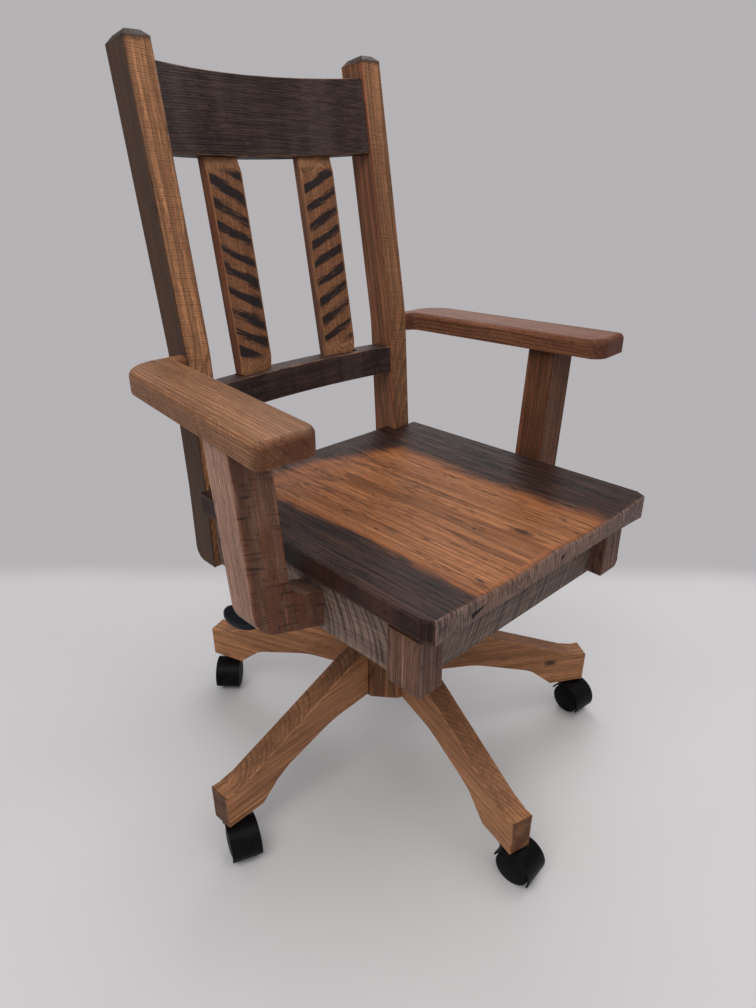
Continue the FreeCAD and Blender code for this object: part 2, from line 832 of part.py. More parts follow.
def back_post(rails):
    """Bent post: upright foot, slight lean to the bend at arm height, then the full lean."""
    top_front = post_front(post_top)
    tilt = math.radians(lean_angle)
    top_back = (top_front + post_depth * math.cos(tilt), post_top - post_depth * math.sin(tilt))
    bend_back = post_bend_front + post_depth
    points = [
        (post_foot_front, post_bottom, 0),
        (post_foot_front, post_straight_top, post_foot_radius),
        (post_bend_front, post_bend_height, post_bend_radius),
        (top_front, post_top, 0),
        (top_back[0], top_back[1], 0),
        (bend_back, post_bend_height - post_depth * post_lean / 2.0, post_bend_radius),
        (post_foot_front + post_depth, post_straight_top, post_foot_radius),
        (post_foot_front + post_depth, post_bottom, post_heel_radius),
    ]
    post = prism(points, side_view(post_inner), vec(post_width, 0, 0))
    crown = vec(0, math.sin(tilt), math.cos(tilt))
    end_low = post_top - post_depth * math.sin(tilt) - 1.0
    ends = edges_where(post, lambda edge: edge.CenterOfMass.z > end_low
                       and abs(edge.tangentAt(edge.FirstParameter).dot(crown)) < 0.01)
    post = post.makeChamfer(post_crown, ends)
    low = post_bottom + post_heel_radius
    high = post_top - 2.0 * post_depth
    long_edges = edges_where(post, lambda edge: low < edge.CenterOfMass.z < high and edge.Length > post_depth)
    post = post.makeFillet(post_edge, long_edges)
    for rail in rails:
        post = post.cut(rail)
    for piece in arm_studs():
        post = post.cut(piece)
    return post


def bowed_rail(low, high, inset, thickness, bow):
    """Rail between the posts, bowed back from the sitter, with a tenon into each post."""
    front = post_bend_front + inset
    back = front + thickness
    ends = post_inner

    def arc(y, sag):
        return Part.Arc(vec(-ends, y, low), vec(0, y + sag, low), vec(ends, y, low)).toShape()

    edges = [
        arc(front, bow),
        Part.LineSegment(vec(ends, front, low), vec(ends, back, low)).toShape(),
        arc(back, bow),
        Part.LineSegment(vec(-ends, back, low), vec(-ends, front, low)).toShape(),
    ]
    rail = Part.Face(Part.Wire(Part.__sortEdges__(edges))).extrude(vec(0, 0, high - low))
    edge_y = front + (thickness - rail_tenon_thickness) / 2.0
    tenons = box(-ends - rail_tenon, ends + rail_tenon, edge_y, edge_y + rail_tenon_thickness,
                 low + rail_tenon_shoulder, high - rail_tenon_shoulder)
    middle = box(-ends, ends, edge_y - thickness, back + thickness + bow, low, high)
    return rail.fuse(tenons.cut(middle)).removeSplitter()


def crest_rail(slats):
    low, high = up_the_lean(crest_bottom), up_the_lean(crest_top)
    rail = lean_back(bowed_rail(low, high, crest_inset, crest_thickness, crest_bow))
    for slat in slats:
        rail = rail.cut(slat)
    return rail


def low_rail(slats):
    rail = bowed_rail(low_rail_bottom, low_rail_top, low_rail_inset, low_rail_thickness, low_rail_bow)
    rail.translate(vec(0, post_front((low_rail_bottom + low_rail_top) / 2.0) - post_bend_front, 0))
    for slat in slats:
        rail = rail.cut(slat)
    return rail


def back_slat():
    """Slat that follows the posts' bend, let into both rails and turned to face along the crest's bow."""
    low = low_rail_top - slat_mortise
    high = up_the_lean(crest_bottom) + slat_mortise - post_bend_height
    tilt = math.radians(lean_angle)
    foot = post_front(low) + slat_inset_low
    bend = post_bend_front + slat_inset_high
    top_y = post_bend_front + slat_inset_high * math.cos(tilt) + high * math.sin(tilt)
    top_z = post_bend_height - slat_inset_high * math.sin(tilt) + high * math.cos(tilt)
    points = [
        (foot, low, 0),
        (bend, post_bend_height, post_bend_radius),
        (top_y, top_z, 0),
        (top_y + slat_thickness * math.cos(tilt), top_z - slat_thickness * math.sin(tilt), 0),
        (bend + slat_thickness, post_bend_height - slat_thickness * post_lean / 2.0, post_bend_radius),
        (foot + slat_thickness, low, 0),
    ]
    slat = prism(points, side_view(slat_centre - slat_width / 2.0), vec(slat_width, 0, 0))
    turn = math.degrees(math.atan(2.0 * crest_bow * slat_centre / post_inner ** 2))
    middle = vec(slat_centre, top_y + slat_thickness / 2.0, top_z)
    slat.rotate(middle, vec(0, math.sin(tilt), math.cos(tilt)), -turn)
    return slat


# Arms

def arm():
    """Board in plan: splayed forward, rounded at the back, with a step in to the post's outer face."""
    points = [
        (post_outer, arm_notch_front, 0),
        (arm_inner_back, arm_notch_front - arm_notch_step, arm_notch_round),
        (arm_inner_front, arm_front, arm_inner_corner),
        (arm_outer_front, arm_front + arm_end_skew, arm_outer_corner),
        (arm_outer_back, arm_back, arm_back_corner),
        (post_outer, arm_back, 0),
    ]
    board = prism(points, top_view(arm_bottom), vec(0, 0, arm_thickness))
    rims = edges_where(board, lambda edge: edge.CenterOfMass.z > arm_top - 0.01
                       and edge.CenterOfMass.x > post_outer + 1.0 and edge.CenterOfMass.y < arm_back + 1.0)
    board = board.makeFillet(arm_round, rims)
    for piece in arm_studs():
        board = board.cut(piece)
    return board


def arm_support():
    """Sawn bracket: rises from the side apron, sweeps out and up to the underside of the arm."""
    top_inner = support_top_outer - support_top_width
    points = [
        (side_apron_face, support_foot_bottom, 0),
        (support_elbow_x, support_elbow_z, support_elbow_radius),
        (support_top_outer, arm_bottom, 0),
        (top_inner, arm_bottom, 0),
        (support_crook_x, support_crook_z, support_crook_radius),
        (side_apron_face, support_foot_top, 0),
    ]
    bracket = prism(points, front_view(support_front), vec(0, support_depth, 0))
    shortest = support_depth / 3.0
    rims = edges_where(bracket, lambda edge: edge.Length > shortest and not runs_along(edge, vec(0, 1, 0))
                       and edge.CenterOfMass.z < arm_bottom - 1.0
                       and edge.CenterOfMass.x > side_apron_face + 1.0)
    bracket = bracket.makeFillet(support_edge, rims)
    for piece in support_screws():
        bracket = bracket.cut(piece)
    return bracket


def write(name, shape):
    solids = shape.Solids
    if not solids or not shape.isValid():
        print("CHECK", name, "solids", len(solids), "valid", shape.isValid())
    if len(solids) == 1:
        shape = solids[0]
    shape.exportStep(os.path.join("parts", name + ".step"))
    print("%-24s solids %2d  volume %10.0f" % (name, len(solids), shape.Volume))


def write_pair(name, right_side):
    """The +X piece is on the sitter's left, and its mirror image on the sitter's right."""
    write(name + "_left", right_side)
    write(name + "_right", mirrored(right_side))


def build_base():
    leg = base_leg()
    legs = [turned(leg, first_leg_angle + i * leg_step) for i in range(leg_count)]
    bolts = leg_bolts()
    for i, piece in enumerate(legs):
        write("base_leg_%d" % (i + 1), piece)
    write("leg_bolts", bolts)
    write("base_hub", hub(legs, bolts))
    for i in range(leg_count):
        fork = [place_caster(piece, i) for piece in (caster_hood(), caster_stem(), caster_axle())]
        write("caster_%d_fork" % (i + 1), Part.makeCompound(fork))
        write("caster_%d_wheel_left" % (i + 1), place_caster(caster_wheel(1), i))
        write("caster_%d_wheel_right" % (i + 1), place_caster(caster_wheel(-1), i))


def build_column():
    write("stand_tube", stand_tube())
    write("guide_bush", guide_bush())
    write("pressure_tube", pressure_tube())
    write("piston_rod", piston_rod())
    write("release_button", release_button())
    write("thrust_bearing", thrust_bearing())
    write("retaining_clip", retaining_clip())


def build_mechanism():
    write("seat_plate", seat_plate())
    write("tilt_housing", tilt_housing())
    write("tilt_pin", tilt_pin())
    write("tension_bolt", tension_bolt())
    write("tension_knob", tension_knob())
    write("tilt_spring", tilt_spring())
    write("lever_rod", lever_rod())
    write("lever_paddle", lever_paddle())


def build_chair():
    for i, plank in enumerate(seat_planks()):
        write("seat_plank_%d" % (i + 1), plank)
    slat = back_slat()
    slats = [slat, mirrored(slat)]
    crest = crest_rail(slats)
    lower = low_rail(slats)
    write("crest_rail", crest)
    write("lower_back_rail", lower)
    write_pair("back_slat", slat)
    write_pair("back_post", back_post([crest, lower]))
    write("front_apron", front_apron())
    write("back_apron", back_apron())
    write_pair("side_apron", side_apron())
    write_pair("front_leg", front_leg())
    write("corner_blocks", corner_blocks())
    write_pair("arm", arm())
    write_pair("arm_support", arm_support())
    write("chair_screws", Part.makeCompound(plate_screws() + block_screws() + support_screws() + arm_studs()))


os.makedirs("parts", exist_ok=True)
build_base()
build_column()
build_mechanism()
build_chair()
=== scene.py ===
"""Looks of a reclaimed-wood bankers swivel chair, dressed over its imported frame.

Metres, +Z up. The sitter faces -Y and the sitter's right arm is on the -X side. Each wooden piece is a copy
of its frame piece with worn arrises, and its finish is worked out in board coordinates: x runs along the
grain, y across the board and z through its thickness.
"""
import json
import math

import bmesh
import bpy
import numpy as np
from mathutils import Matrix, Vector


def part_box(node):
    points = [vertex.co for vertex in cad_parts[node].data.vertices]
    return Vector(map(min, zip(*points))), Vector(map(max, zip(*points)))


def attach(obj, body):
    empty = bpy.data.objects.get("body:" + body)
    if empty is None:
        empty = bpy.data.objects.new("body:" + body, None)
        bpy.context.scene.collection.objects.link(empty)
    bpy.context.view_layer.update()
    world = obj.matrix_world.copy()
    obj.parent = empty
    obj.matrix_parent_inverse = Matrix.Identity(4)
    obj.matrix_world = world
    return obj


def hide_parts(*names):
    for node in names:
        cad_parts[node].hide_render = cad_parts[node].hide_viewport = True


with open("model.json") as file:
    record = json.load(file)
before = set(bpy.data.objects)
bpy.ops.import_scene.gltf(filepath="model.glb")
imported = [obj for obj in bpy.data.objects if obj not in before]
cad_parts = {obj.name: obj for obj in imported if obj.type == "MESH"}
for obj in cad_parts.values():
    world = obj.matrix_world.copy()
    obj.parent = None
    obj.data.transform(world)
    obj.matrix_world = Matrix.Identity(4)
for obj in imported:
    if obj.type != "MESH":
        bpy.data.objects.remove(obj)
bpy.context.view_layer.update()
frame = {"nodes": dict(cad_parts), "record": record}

nodes = frame["nodes"]
bodies = {node: body for body, members in frame["record"]["behaviour"]["bodies"].items() for node in members}
slots = {part["node"]: part["material_slot"] for part in frame["record"]["subparts"]}

UP = Vector((0, 0, 1))
ACROSS = Vector((1, 0, 0))
FORE = Vector((0, -1, 0))
BACK_LEAN = math.atan(0.17)
LEAN_UP = Vector((0, math.sin(BACK_LEAN), math.cos(BACK_LEAN)))
ARM_SPLAY = math.atan(0.11)
SLAT_TURN = math.radians(9.6)
SUPPORT_SPLAY = math.atan(0.09)
LEG_STEP = 72.0
FIRST_LEG = -104.7
SHARP = math.radians(30)


# Wiring of node trees

class Wiring:
    """Adds nodes to one tree; a plain value is set on the socket itself and a socket is linked."""

    def __init__(self, tree):
        self.tree = tree

    def put(self, socket, value):
        if isinstance(value, bpy.types.NodeSocket):
            self.tree.links.new(value, socket)
        elif value is not None:
            socket.default_value = value

    def add(self, kind, values=(), **settings):
        node = self.tree.nodes.new("ShaderNode" + kind)
        for name, setting in settings.items():
            setattr(node, name, setting)
        for place, value in enumerate(values):
            self.put(node.inputs[place], value)
        return node

    def math(self, operation, a, b=None, c=None, clamp=False):
        return self.add("Math", (a, b, c), operation=operation, use_clamp=clamp).outputs[0]

    def plus(self, a, b):
        return self.math("ADD", a, b)

    def minus(self, a, b):
        return self.math("SUBTRACT", a, b)

    def times(self, a, b, clamp=False):
        return self.math("MULTIPLY", a, b, clamp=clamp)

    def vector(self, operation, a, b=None):
        node = self.add("VectorMath", (a, b), operation=operation)
        return node.outputs["Value" if operation in ("LENGTH", "DOT_PRODUCT", "DISTANCE") else "Vector"]

    def stretched(self, vector, along, across, through):
        """The vector with each axis scaled by its own number."""
        return self.vector("MULTIPLY", vector, (along, across, through))

    def noise(self, vector, detail=3.0, rough=0.5, distortion=0.0, color=False):
        node = self.add("TexNoise")
        self.put(node.inputs["Vector"], vector)
        node.inputs["Scale"].default_value = 1.0
        node.inputs["Detail"].default_value = detail
        node.inputs["Roughness"].default_value = rough
        node.inputs["Distortion"].default_value = distortion
        return node.outputs["Color" if color else "Fac"]

    def span(self, value, low, high, to_low=0.0, to_high=1.0):
        """Smooth step of a value from low to high."""
        node = self.add("MapRange", (value, low, high, to_low, to_high), interpolation_type="SMOOTHSTEP")
        return node.outputs[0]

    def mix(self, factor, a, b, blend="MIX"):
        node = self.add("Mix", data_type="RGBA", blend_type=blend)
        self.put(node.inputs["Factor"], factor)
        self.put(node.inputs["A"], self.solid(a))
        self.put(node.inputs["B"], self.solid(b))
        return node.outputs["Result"]

    @staticmethod
    def solid(value):
        """A colour of three numbers with its alpha, or a socket as it is."""
        if isinstance(value, (tuple, list)) and len(value) == 3:
            return (*value, 1.0)
        return value

    def split(self, vector):
        return self.add("SeparateXYZ", (vector,)).outputs

    def joined(self, x, y, z):
        return self.add("CombineXYZ", (x, y, z)).outputs[0]


def new_group(name, inputs, outputs):
    """An empty node group with named sockets: its wiring, its input sockets and its output node."""
    tree = bpy.data.node_groups.new(name, "ShaderNodeTree")
    for socket, kind, default in inputs:
        item = tree.interface.new_socket(socket, in_out="INPUT", socket_type="NodeSocket" + kind)
        item.default_value = default
    for socket, kind in outputs:
        tree.interface.new_socket(socket, in_out="OUTPUT", socket_type="NodeSocket" + kind)
    wires = Wiring(tree)
    given = tree.nodes.new("NodeGroupInput").outputs
    return tree, wires, given, tree.nodes.new("NodeGroupOutput").inputs


# Effects shared by several woods

def grain_group():
    """Oak figure: growth rings round a pith line beside the board, fibres and open pores along the grain.

    The distance from the pith line, bent by slow noise, is cut into rings; each ring darkens slowly and ends
    sharply. Fibres and pores are noise drawn out along the board.
    """
    tree, w, given, result = new_group("oak_grain", [
        ("Board", "Vector", (0, 0, 0)), ("Pith", "Vector", (0, 0.02, -0.12)), ("Ring", "Float", 0.0035),
        ("Wander", "Float", 0.009), ("Seed", "Float", 0.0)],
        [("Rings", "Float"), ("Fibre", "Float"), ("Pores", "Float"), ("Patch", "Float"),
         ("Streaks", "Float")])
    place = w.vector("ADD", given["Board"], w.joined(w.times(given["Seed"], 1.37), given["Seed"], 0.0))
    drift = w.vector("SUBTRACT", w.noise(w.stretched(place, 2.2, 9.0, 9.0), 2.0, color=True), (0.5, 0.5, 0.5))
    wide = w.add("VectorMath", (drift,), operation="SCALE")
    w.put(wide.inputs["Scale"], given["Wander"])
    offset = w.vector("ADD", w.vector("SUBTRACT", given["Board"], given["Pith"]), wide.outputs[0])
    ripple = w.times(w.noise(w.stretched(place, 10.0, 60.0, 60.0), 2.0), 0.0016)
    radius = w.plus(w.vector("LENGTH", w.stretched(offset, 0.02, 1.0, 1.0)), ripple)
    turns = w.math("DIVIDE", radius, given["Ring"])
    phase = w.math("FRACT", turns)
    weight = w.noise(w.joined(w.math("FLOOR", turns), given["Seed"], 0.0), 0.0)
    late = w.times(w.math("POWER", phase, 2.4), w.span(phase, 1.0, 0.9))
    w.put(result["Rings"], w.times(late, w.span(weight, 0.3, 0.65, 0.55, 1.6), clamp=True))
    coarse = w.noise(w.stretched(place, 9.0, 520.0, 520.0), 4.0, 0.65)
    fine = w.noise(w.stretched(place, 30.0, 1900.0, 1900.0), 2.0)
    w.put(result["Fibre"], w.plus(w.times(coarse, 0.65), w.times(fine, 0.35)))
    dashes = w.span(w.noise(w.stretched(place, 70.0, 1300.0, 1300.0), 1.0), 0.6, 0.68)
    w.put(result["Pores"], w.times(dashes, w.span(phase, 0.75, 0.25, 0.35, 1.0)))
    w.put(result["Patch"], w.noise(w.stretched(place, 3.5, 15.0, 15.0), 3.0, 0.6))
    w.put(result["Streaks"], w.noise(w.stretched(place, 3.0, 170.0, 170.0), 4.0, 0.62))
    return tree


def saw_group():
    """Saw marks: dark strokes across a board at a steady pitch, slanted or bent to an arc and broken up.

    The phase is the distance along the board plus a slant and an arc's rise over the width; noise drawn out
    along the strokes breaks and fades them.
    """
    tree, w, given, result = new_group("saw_marks", [
        ("Board", "Vector", (0, 0, 0)), ("Pitch", "Float", 0.006), ("Slant", "Float", 0.3),
        ("Arc", "Float", 0.0), ("Break", "Float", 0.5), ("Seed", "Float", 0.0)],
        [("Marks", "Float"), ("Ridges", "Float")])
    x, y, z = w.split(given["Board"])
    across = w.plus(y, z)
    rise = w.times(w.times(across, across), given["Arc"])
    travel = w.plus(w.plus(x, w.times(across, given["Slant"])), rise)
    along = w.math("DIVIDE", travel, given["Pitch"])
    shaken = w.plus(along, w.times(w.noise(w.joined(along, given["Seed"], 0.0), 2.0), 2.5))
    wave = w.math("MULTIPLY_ADD", w.math("SINE", w.times(shaken, 2.0 * math.pi)), 0.5, 0.5)
    strokes = w.noise(w.joined(w.times(along, 0.8), w.times(across, 22.0), given["Seed"]), 4.0, 0.65)
    kept = w.span(strokes, given["Break"], w.plus(given["Break"], 0.14))
    w.put(result["Marks"], w.times(w.math("POWER", wave, 1.6), kept))
    w.put(result["Ridges"], wave)
    return tree


def tick_group():
    """Saw-tooth ticks: short strokes along the board in rows, each row half a space on from the last.

    The row is the floor of x over the row pitch; a tick stands in the middle of each cell of y plus half the
    row, and noise leaves out some of them.
    """
    tree, w, given, result = new_group("tooth_ticks", [
        ("Board", "Vector", (0, 0, 0)), ("Row", "Float", 0.0065), ("Space", "Float", 0.0045),
        ("Seed", "Float", 0.0)],
        [("Ticks", "Float")])
    x, y, z = w.split(given["Board"])
    across = w.plus(y, z)
    bend = w.times(w.noise(w.stretched(given["Board"], 25.0, 60.0, 60.0), 2.0), 1.3)
    row = w.plus(w.math("DIVIDE", x, given["Row"]), bend)
    cell = w.plus(w.math("DIVIDE", across, given["Space"]), w.times(w.math("FLOOR", row), 0.53))
    off = w.math("ABSOLUTE", w.minus(w.math("FRACT", w.plus(cell, bend)), 0.5))
    rise = w.math("FRACT", row)
    length = w.times(w.span(rise, 0.0, 0.25), w.span(rise, 0.95, 0.55))
    kept = w.span(w.noise(w.joined(w.times(cell, 0.7), w.math("FLOOR", row), given["Seed"]), 1.0), 0.38, 0.52)
    w.put(result["Ticks"], w.times(w.times(w.span(off, 0.24, 0.08), length), kept))
    return tree


def age_group():
    """How far each side of a board kept its old surface: the facing is weighed side by side and roughened."""
    tree, w, given, result = new_group("old_sides", [
        ("Facing", "Vector", (0, 0, 1)), ("Board", "Vector", (0, 0, 0)), ("Low", "Vector", (0, 0, 0)),
        ("High", "Vector", (0, 0, 0)), ("Seed", "Float", 0.0)], [("Age", "Float")])
    ahead = w.vector("MAXIMUM", given["Facing"], (0, 0, 0))
    behind = w.vector("MAXIMUM", w.vector("MULTIPLY", given["Facing"], (-1, -1, -1)), (0, 0, 0))
    worn = w.plus(w.vector("DOT_PRODUCT", ahead, given["High"]),
                  w.vector("DOT_PRODUCT", behind, given["Low"]))
    place = w.vector("ADD", given["Board"], w.joined(given["Seed"], 0.0, given["Seed"]))
    cloud = w.noise(w.stretched(place, 7.0, 40.0, 40.0), 4.0, 0.6)
    w.put(result["Age"], w.times(worn, w.span(cloud, 0.25, 0.7, 0.55, 1.15), clamp=True))
    return tree


def crack_group():
    """Drying cracks: the zero line of a noise field drawn out along the grain, kept only here and there."""
    tree, w, given, result = new_group("drying_cracks", [
        ("Board", "Vector", (0, 0, 0)), ("Amount", "Float", 0.5), ("Seed", "Float", 0.0)],
        [("Cracks", "Float")])
    place = w.vector("ADD", given["Board"], w.joined(w.times(given["Seed"], 2.11), given["Seed"], 0.0))
    field = w.noise(w.stretched(place, 4.0, 55.0, 55.0), 5.0, 0.6)
    line = w.span(w.math("ABSOLUTE", w.minus(field, 0.5)), 0.0, 0.012, 1.0, 0.0)
    region = w.noise(w.stretched(w.vector("ADD", place, (5.0, 5.0, 5.0)), 8.0, 22.0, 22.0), 2.0)
    gate = w.minus(1.0, w.times(given["Amount"], 0.6))
    w.put(result["Cracks"], w.times(line, w.span(region, w.minus(gate, 0.08), gate)))
    return tree


def speck_group():
    """Moulded or coated surface: two sizes of fine noise for its skin and a slow one for handling marks."""
    tree, w, given, result = new_group("coated_skin", [
        ("Place", "Vector", (0, 0, 0)), ("Size", "Float", 900.0)], [("Skin", "Float"), ("Handling", "Float")])
    scaled = w.add("VectorMath", (given["Place"],), operation="SCALE")
    w.put(scaled.inputs["Scale"], given["Size"])
    w.put(result["Skin"], w.noise(scaled.outputs[0], 3.0, 0.55))
    w.put(result["Handling"], w.noise(w.stretched(given["Place"], 38.0, 38.0, 38.0), 4.0, 0.65))
    return tree


GRAIN = grain_group()
SAW = saw_group()
TICK = tick_group()
AGE = age_group()
CRACK = crack_group()
SPECK = speck_group()


def use(w, tree, **values):
    """Places a group and sets its inputs by name; returns its outputs."""
    node = w.tree.nodes.new("ShaderNodeGroup")
    node.node_tree = tree
    for name, value in values.items():
        w.put(node.inputs[name], value)
    return node.outputs


# Finishes

def blank_material(name):
    material = bpy.data.materials.new(name)
    material.use_nodes = True
    w = Wiring(material.node_tree)
    shader = material.node_tree.nodes["Principled BSDF"]
    return material, w, shader


def board_places(w, centre, axes):
    """Board coordinates and board-wise facing of a piece from its Object coordinates and normal."""
    turn = Matrix(axes).transposed().to_euler()
    source = w.add("TexCoord").outputs
    place = w.add("Mapping", (source["Object"],), vector_type="TEXTURE")
    place.inputs["Location"].default_value = centre
    place.inputs["Rotation"].default_value = turn
    facing = w.add("Mapping", (source["Normal"],), vector_type="TEXTURE")
    facing.inputs["Rotation"].default_value = turn
    return place.outputs[0], facing.outputs[0], source["Object"]


def darkened(tone, share):
    """The tone with every channel scaled; a share over 1 makes it paler."""
    return tuple(channel * share for channel in tone)


def between(first, second, share):
    """The tone that lies a share of the way from the first to the second."""
    return tuple(a + (b - a) * share for a, b in zip(first, second))


CRACK_TONE = (0.012, 0.009, 0.008)
GRAIN_RELIEF = 0.0009
GRAIN_BUMP = 0.75
OAK_COAT = 0.04
OAK_COAT_ROUGHNESS = 0.3


def oak(name, centre, axes, seed, pale, deep, old, low=(0, 0, 0), high=(0, 0, 0), pith=(0, 0.02, -0.12),
        ring=0.0035, wander=0.009, saw=None, saw_tone=(0.012, 0.009, 0.009), saw_depth=0.8, saw_sides=None,
        cracks=0.45, extra=None, rough=0.5, arris_tone=None, streak=0.45,
        saw_along=False, sheen=0.13, rub=0.6, rings=0.7, fibre=0.55):
    """Clear-coated reclaimed oak for one board.

    low and high weigh the old surface on the board's sides, axis by axis; saw gives the saw marks' pitch,
    slant, arc and gaps; rub is how far the arrises are rubbed pale; extra(w, color, board, place) adds marks.
    """
    material, w, shader = blank_material(name)
    board, facing, place = board_places(w, centre, axes)
    grain = use(w, GRAIN, Board=board, Pith=pith, Ring=ring, Wander=wander, Seed=seed)
    age = use(w, AGE, Facing=facing, Board=board, Low=low, High=high, Seed=seed)["Age"]
    split_lines = use(w, CRACK, Board=board, Amount=cracks, Seed=seed)["Cracks"]
    color = w.mix(w.span(grain["Patch"], 0.3, 0.7), pale, deep)
    color = w.mix(w.times(grain["Rings"], rings), color, darkened(deep, 0.36))
    streaks = w.span(grain["Streaks"], 0.36, 0.64)
    end = w.span(w.math("ABSOLUTE", w.split(facing)[0]), 0.6, 0.9)
    streaks = w.math("MULTIPLY_ADD", w.minus(streaks, 0.45), w.math("MULTIPLY_ADD", end, -0.8, 1.0), 0.45)
    color = w.mix(age, color, w.mix(streaks, darkened(old, 0.5), darkened(old, 1.7)))
    color = w.mix(w.times(w.minus(1.0, streaks), streak), color, darkened(deep, 0.34))
    fibres = w.span(grain["Fibre"], 0.38, 0.6)
    color = w.mix(w.times(w.minus(1.0, fibres), fibre), color, darkened(deep, 0.25))
    color = w.mix(w.times(grain["Pores"], 0.6), color, darkened(old, 0.35))
    height = w.plus(w.times(fibres, 0.35), w.times(grain["Rings"], 0.25))
    height = w.minus(height, w.times(grain["Pores"], 0.5))
    gloss = w.math("MULTIPLY_ADD", grain["Fibre"], -0.16, rough + 0.1)
    if saw:
        x, y, z = w.split(board)
        marks = use(w, SAW, Board=w.joined(y, x, 0.0) if saw_along else board, Seed=seed, **saw)
        sides = use(w, AGE, Facing=facing, Board=board, Low=saw_sides[0], High=saw_sides[1],
                    Seed=seed + 3.0)["Age"]
        cut = w.times(marks["Marks"], sides)
        color = w.mix(w.times(cut, saw_depth), color, saw_tone)
        ridges = w.times(marks["Ridges"], sides)
        height = w.minus(height, w.times(w.plus(cut, w.times(ridges, 0.35)), 0.9))
    if extra:
        color = extra(w, color, board, place)
    color = w.mix(w.times(split_lines, 0.85), color, CRACK_TONE)
    height = w.minus(height, w.times(split_lines, 1.5))
    arris = w.add("Attribute", attribute_name="arris").outputs["Fac"]
    rubbed = w.times(arris, w.span(w.noise(w.stretched(board, 30.0, 90.0, 90.0), 3.0), 0.4, 0.62, 0.1, rub))
    color = w.mix(rubbed, color, arris_tone or between(pale, darkened(old, 1.8), 0.35))
    bump = w.add("Bump")
    bump.inputs["Strength"].default_value = GRAIN_BUMP
    bump.inputs["Distance"].default_value = GRAIN_RELIEF
    w.put(bump.inputs["Height"], height)
    w.put(shader.inputs["Base Color"], color)
    w.put(shader.inputs["Roughness"], gloss)
    w.put(shader.inputs["Normal"], bump.outputs[0])
    shader.inputs["Specular IOR Level"].default_value = sheen
    shader.inputs["Coat Weight"].default_value = OAK_COAT
    shader.inputs["Coat Roughness"].default_value = OAK_COAT_ROUGHNESS
    return material


def coated(name, tone, rough, metallic=0.0, size=900.0, relief=0.00006, worn=None):
    """Moulded plastic or coated metal: fine skin, handling marks and rubbed places."""
    material, w, shader = blank_material(name)
    place = w.add("TexCoord").outputs["Object"]
    skin = use(w, SPECK, Place=place, Size=size)
    handled = w.span(skin["Handling"], 0.42, 0.66)
    color = w.mix(handled, tone, worn or darkened(tone, 1.7))
    gloss = w.plus(w.math("MULTIPLY_ADD", skin["Handling"], 0.22, rough - 0.11), w.times(skin["Skin"], 0.08))
    bump = w.add("Bump")
    bump.inputs["Strength"].default_value = 0.6
    bump.inputs["Distance"].default_value = relief
    w.put(bump.inputs["Height"], skin["Skin"])
    w.put(shader.inputs["Base Color"], color)
    w.put(shader.inputs["Roughness"], gloss)
    w.put(shader.inputs["Normal"], bump.outputs[0])
    shader.inputs["Metallic"].default_value = metallic
    shader.inputs["Specular IOR Level"].default_value = 0.5 if metallic else 0.075
    return material


def zinc_plate():
    """Zinc-plated steel: grey with slow tarnish and a fine skin."""
    return coated("zinc_plated_steel", (0.42, 0.41, 0.39), 0.34, 1.0, 1500.0, 0.00003, (0.28, 0.27, 0.25))


# Meshes

WELD = 2e-5
SHORTEST_ARRIS = 0.004
CROWN_DEPTH = 0.03
CROWN_FOLD = math.radians(15.0)


def is_arris(edge):
    """Whether an edge is turned enough and long enough to be rounded."""
    return (len(edge.link_faces) == 2 and edge.calc_face_angle() > SHARP
            and edge.calc_length() > SHORTEST_ARRIS)


def eased(bm, edges, width, segments, clamp=False):
    """Bevels the edges and returns the new faces."""
    return bmesh.ops.bevel(bm, geom=edges, offset=width, segments=segments, profile=0.5, affect="EDGES",
                           clamp_overlap=clamp)["faces"]


def dressed(name, width, joint_width=None, joint_test=None, crown=None, shape=None):
    """Copy of a frame piece with its arrises rounded to a worn width; the rounded faces carry an attribute.

    Edges that pass joint_test only lose their corner, the edges round the top of a post may be rounder, and
    shape(bm) may move or cut the copy first.
    """
    mesh = nodes[name].data.copy()
    mesh.materials.clear()
    bm = bmesh.new()
    bm.from_mesh(mesh)
    bmesh.ops.remove_doubles(bm, verts=bm.verts, dist=WELD)
    bmesh.ops.dissolve_limit(bm, angle_limit=math.radians(1.0), verts=bm.verts, edges=bm.edges)
    if shape:
        shape(bm)
    layer = bm.faces.layers.float.new("arris")
    sharp = [e for e in bm.edges if is_arris(e)]
    if joint_test:
        eased(bm, [e for e in sharp if joint_test(e)], joint_width, 1)
        sharp = [e for e in bm.edges if is_arris(e) and not joint_test(e)]
    if crown:
        brow = max(v.co.z for v in bm.verts) - CROWN_DEPTH
        top = [e for e in bm.edges if min(v.co.z for v in e.verts) > brow and e.calc_length() > SHORTEST_ARRIS
               and e.calc_face_angle(0.0) > CROWN_FOLD]
        worn = set(eased(bm, top, crown, 4, clamp=True))
        sharp = [e for e in bm.edges if is_arris(e) and not worn.intersection(e.link_faces)]
    rounded = eased(bm, sharp, width, 3)
    for face in rounded:
        face[layer] = 1.0
    bmesh.ops.recalc_face_normals(bm, faces=bm.faces)
    bm.to_mesh(mesh)
    bm.free()
    return add_piece(name + "_worn", mesh, name)


def add_piece(title, mesh, *stands_for):
    """A smooth-shaded piece that stands for frame pieces and rides on their body."""
    mesh.polygons.foreach_set("use_smooth", np.ones(len(mesh.polygons), bool))
    mesh.set_sharp_from_angle(angle=SHARP)
    piece = bpy.data.objects.new(title, mesh)
    bpy.context.scene.collection.objects.link(piece)
    weigh = piece.modifiers.new("even_shading", "WEIGHTED_NORMAL")
    weigh.keep_sharp = True
    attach(piece, bodies[stands_for[0]])
    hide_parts(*stands_for)
    return piece


def middle(name):
    low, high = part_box(name)
    return (low + high) / 2.0


